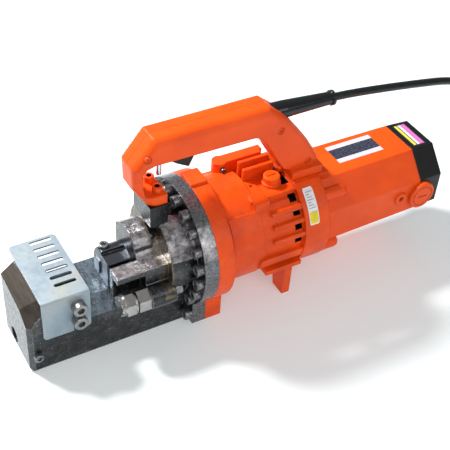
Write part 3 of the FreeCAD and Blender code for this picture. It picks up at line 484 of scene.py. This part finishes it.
STRAP_TURNS = (200, 320)                       # degrees around the coil
STRAP_INNER, STRAP_OUTER = 0.0442, 0.0549      # metres, as are the next four
STRAP_LOW, STRAP_HIGH = 0.0002, 0.0636
STRAP_HALF = 0.006
STRAP_THICKNESS = 0.0012


def cord_route():
    """Control points: the free run, the stacked turns and the way out to the plug."""
    route = [CORD_EXIT, (206.9, 0, 224.6), (255, 0.5, 218.3), (306, 0, 211),
             (356, -0.6, 203), (398, 0.5, 186), (429, 1, 161), (450, 0.5, 132),
             (467, -0.5, 103), (485.5, 0, 81), (506.5, -1, 66.5),
             (530, -0.6, 58.2), (554, -0.6, 58.2)]
    radius = COIL_R / math.cos(math.pi / STEPS)
    total = COIL_TURNS * STEPS
    for k in range(total + 1):
        angle = math.radians(90) - 2 * math.pi * k / STEPS
        z = COIL_TOP + (COIL_BOTTOM - COIL_TOP) * k / total
        route.append((COIL_CENTRE[0] + radius * math.cos(angle),
                      COIL_CENTRE[1] + COIL_NUDGE + radius * math.sin(angle), z))
    return route + [(600, -0.6, 6.2), (612, -0.6, 11.5), (621, -0.6, 13.5)]


def make_cord(material):
    """Mains lead as one round curve, in place of the plain cord and coil solids."""
    curve = bpy.data.curves.new("mains_cord", "CURVE")
    curve.dimensions = "3D"
    curve.bevel_depth = CORD_D / 2
    curve.bevel_resolution = 5
    curve.resolution_u = 6
    curve.use_fill_caps = True
    spline = curve.splines.new("NURBS")
    points = cord_route()
    spline.points.add(len(points) - 1)
    for point, place in zip(spline.points, points):
        point.co = (*at(*place), 1)
    spline.order_u = 3
    spline.use_endpoint_u = True
    curve.materials.append(material)
    cord = bpy.data.objects.new("mains_cord", curve)
    SCENE.collection.objects.link(cord)
    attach(cord, "tool")
    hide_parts("cord", "cord_coil")


# ------------------------------------------------------------ added pieces

LABEL_THICKNESS = 0.0003
LABEL_R, PRINT_R = 65.02, 65.35          # mm: the sticker on the collar, and what is printed on it
LABEL_RULES = 7

STRIPE_FRONT, STRIPE_REAR = 304.5, 321.5
STRIPE_FAR, STRIPE_NEAR = 21.0, -22.0
STRIPE_MARGIN = 1.5                      # dark ground left bare at both ends of a stripe
COVER_TOP, COVER_TOP_X, COVER_SLOPE = 138.0, 298, 33


def sheet_piece(name, points, faces, material, thickness, placement=Matrix()):
    """Sheet that is thickened outward and fixed to the tool's body."""
    data = bpy.data.meshes.new(name)
    data.from_pydata(points, [], faces)
    data.transform(placement)
    data.materials.append(material)
    piece = bpy.data.objects.new(name, data)
    SCENE.collection.objects.link(piece)
    thick = piece.modifiers.new("thickness", "SOLIDIFY")
    thick.thickness = thickness
    thick.offset = 1
    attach(piece, "tool")


def make_coil_straps(material):
    """Two hook-and-loop straps that hold the stacked turns together."""
    centre = Matrix.Translation(at(*COIL_CENTRE, 0))
    corners = [(STRAP_INNER, STRAP_LOW), (STRAP_OUTER, STRAP_LOW),
               (STRAP_OUTER, STRAP_HIGH), (STRAP_INNER, STRAP_HIGH)]
    points = [(r, side * STRAP_HALF, z) for side in (-1, 1) for r, z in corners]
    faces = [(k, (k + 1) % 4, 4 + (k + 1) % 4, 4 + k) for k in range(4)]
    for number, turn in enumerate(STRAP_TURNS):
        placement = centre @ Matrix.Rotation(math.radians(turn), 4, "Z")
        sheet_piece("coil_strap_%d" % number, points, faces, material,
                    STRAP_THICKNESS, placement)


def plain_label(name, color):
    """Printed film in one plain colour."""
    s = Shader(name)
    base = s.ramp(s.noise(0.004, 4, 0.6), (0.35, tuple(c * 0.86 for c in color)), (0.65, color))
    s.set(color=base, roughness=0.45, specular=0.3)
    s.bump(s.noise(0.002, 3), 0.08, 0.0003)
    return s.done()


def curved_patch(name, x0, x1, angle0, angle1, radius, corner, material):
    """Rounded sticker on the collar, from angle0 to angle1 above the near side."""
    rows = 20
    points = []
    span = math.radians(angle1 - angle0) * radius
    for k in range(rows + 1):
        along = span * k / rows
        inset = min(along, span - along)
        trim = corner - math.sqrt(max(0.0, corner ** 2 - (corner - inset) ** 2)) if inset < corner else 0.0
        a = math.radians(angle0) + along / radius
        for x in (x0 + trim, x1 - trim):
            points.append(at(x, -radius * math.cos(a), AXIS_Z * 1000 + radius * math.sin(a)))
    faces = [(2 * k, 2 * k + 1, 2 * k + 3, 2 * k + 2) for k in range(rows)]
    sheet_piece(name, points, faces, material, LABEL_THICKNESS)


def make_tail_stripes():
    """Plain coloured bands on a dark ground, across the flat top of the tail cover."""
    bands = ((0.0, 1.0, (0.045, 0.045, 0.055), 0.05), (0.06, 0.26, (0.80, 0.68, 0.06), 0.4),
             (0.36, 0.56, (0.74, 0.72, 0.76), 0.4), (0.60, 0.92, (0.78, 0.16, 0.52), 0.4))
    for k, (start, end, color, lift) in enumerate(bands):
        points = []
        for share, y in ((start, STRIPE_FAR), (end, STRIPE_FAR), (end, STRIPE_NEAR), (start, STRIPE_NEAR)):
            x = STRIPE_FRONT + (STRIPE_REAR - STRIPE_FRONT) * share
            edge = y - math.copysign(STRIPE_MARGIN, y) if k else y
            points.append(at(x, edge, COVER_TOP - (x - COVER_TOP_X) / COVER_SLOPE + lift))
        sheet_piece("tail_stripe_%d" % k, points, [(3, 2, 1, 0)], plain_label("stripe_%d" % k, color),
                    LABEL_THICKNESS)


def make_labels():
    """Sticker on the collar, with a yellow field and grey rules, and the tail's stripes."""
    white = plain_label("label_white", (0.80, 0.80, 0.82))
    yellow = plain_label("label_yellow", (0.78, 0.62, 0.03))
    dark = plain_label("label_grey", (0.30, 0.30, 0.34))
    curved_patch("collar_label", 136.5, 148.8, 17.6, 55.6, LABEL_R, 1.1, white)
    curved_patch("collar_label_warning", 137.7, 147.6, 18.9, 31.0, PRINT_R, 1.2, yellow)
    make_tail_stripes()
    for k in range(LABEL_RULES):
        end, angle = 147.0 - 2.2 * (k % 3), 34.5 + 2.7 * k
        curved_patch("collar_label_rule_%d" % k, 138.3, end, angle, 35.2 + 2.7 * k, PRINT_R, 0.1, dark)


# ------------------------------------------------------------------- stage


FLOOR_HALF = 6.0
FLOOR_COLOR = (0.64, 0.69, 0.70)
FLOOR_GLOW = 0.24
WORLD_STRENGTH = 0.42
WORLD_LOW = (0.42, 0.43, 0.45, 1)
LIGHT_TARGET = (0, 0, 0.08)
LIGHTS = (("key", (-0.72, 0.95, 1.45), 0.3, 60),      # name, place, diameter, power
          ("fill", (-0.7, -1.2, 1.3), 0.8, 9),
          ("side", (0.7, -1.5, 0.9), 0.9, 6))


def make_floor():
    """White studio floor that glows a little, so it stays white around the shadow."""
    half = FLOOR_HALF
    floor_data = bpy.data.meshes.new("floor")
    floor_data.from_pydata([(-half, -half, 0), (half, -half, 0), (half, half, 0), (-half, half, 0)],
                           [], [(0, 1, 2, 3)])
    floor = bpy.data.objects.new("floor", floor_data)
    s = Shader("floor")
    s.set(color=FLOOR_COLOR, roughness=0.8, specular=0.1)
    s.bsdf.inputs["Emission Color"].default_value = (1, 1, 1, 1)
    s.bsdf.inputs["Emission Strength"].default_value = FLOOR_GLOW
    floor_data.materials.append(s.done())
    SCENE.collection.objects.link(floor)


def make_world():
    """Plain light from all round, grey at the horizon and white overhead."""
    world = bpy.data.worlds.new("studio")
    world.use_nodes = True
    tree = world.node_tree
    background = tree.nodes["Background"]
    background.inputs["Strength"].default_value = WORLD_STRENGTH
    direction = tree.nodes.new("ShaderNodeTexCoord")
    split = tree.nodes.new("ShaderNodeSeparateXYZ")
    fade = tree.nodes.new("ShaderNodeValToRGB")
    tree.links.new(direction.outputs["Generated"], split.inputs[0])
    tree.links.new(split.outputs["Z"], fade.inputs["Fac"])
    tree.links.new(fade.outputs["Color"], background.inputs["Color"])
    fade.color_ramp.elements[0].color = WORLD_LOW
    fade.color_ramp.elements[1].color = (1, 1, 1, 1)
    fade.color_ramp.elements[1].position = 0.9
    SCENE.world = world


def make_lights():
    for name, place, size, energy in LIGHTS:
        data = bpy.data.lights.new(name, "AREA")
        data.shape = "DISK"
        data.size = size
        data.energy = energy
        light = bpy.data.objects.new(name, data)
        light.location = place
        aim = Vector(LIGHT_TARGET) - Vector(place)
        light.rotation_euler = aim.to_track_quat("-Z", "Y").to_euler()
        SCENE.collection.objects.link(light)


make_camera()
SHEATH, RUBBER = make_materials()
make_cord(SHEATH)
make_labels()
make_coil_straps(RUBBER)
make_floor()
make_world()
make_lights()
SCENE.view_settings.view_transform = "Standard"
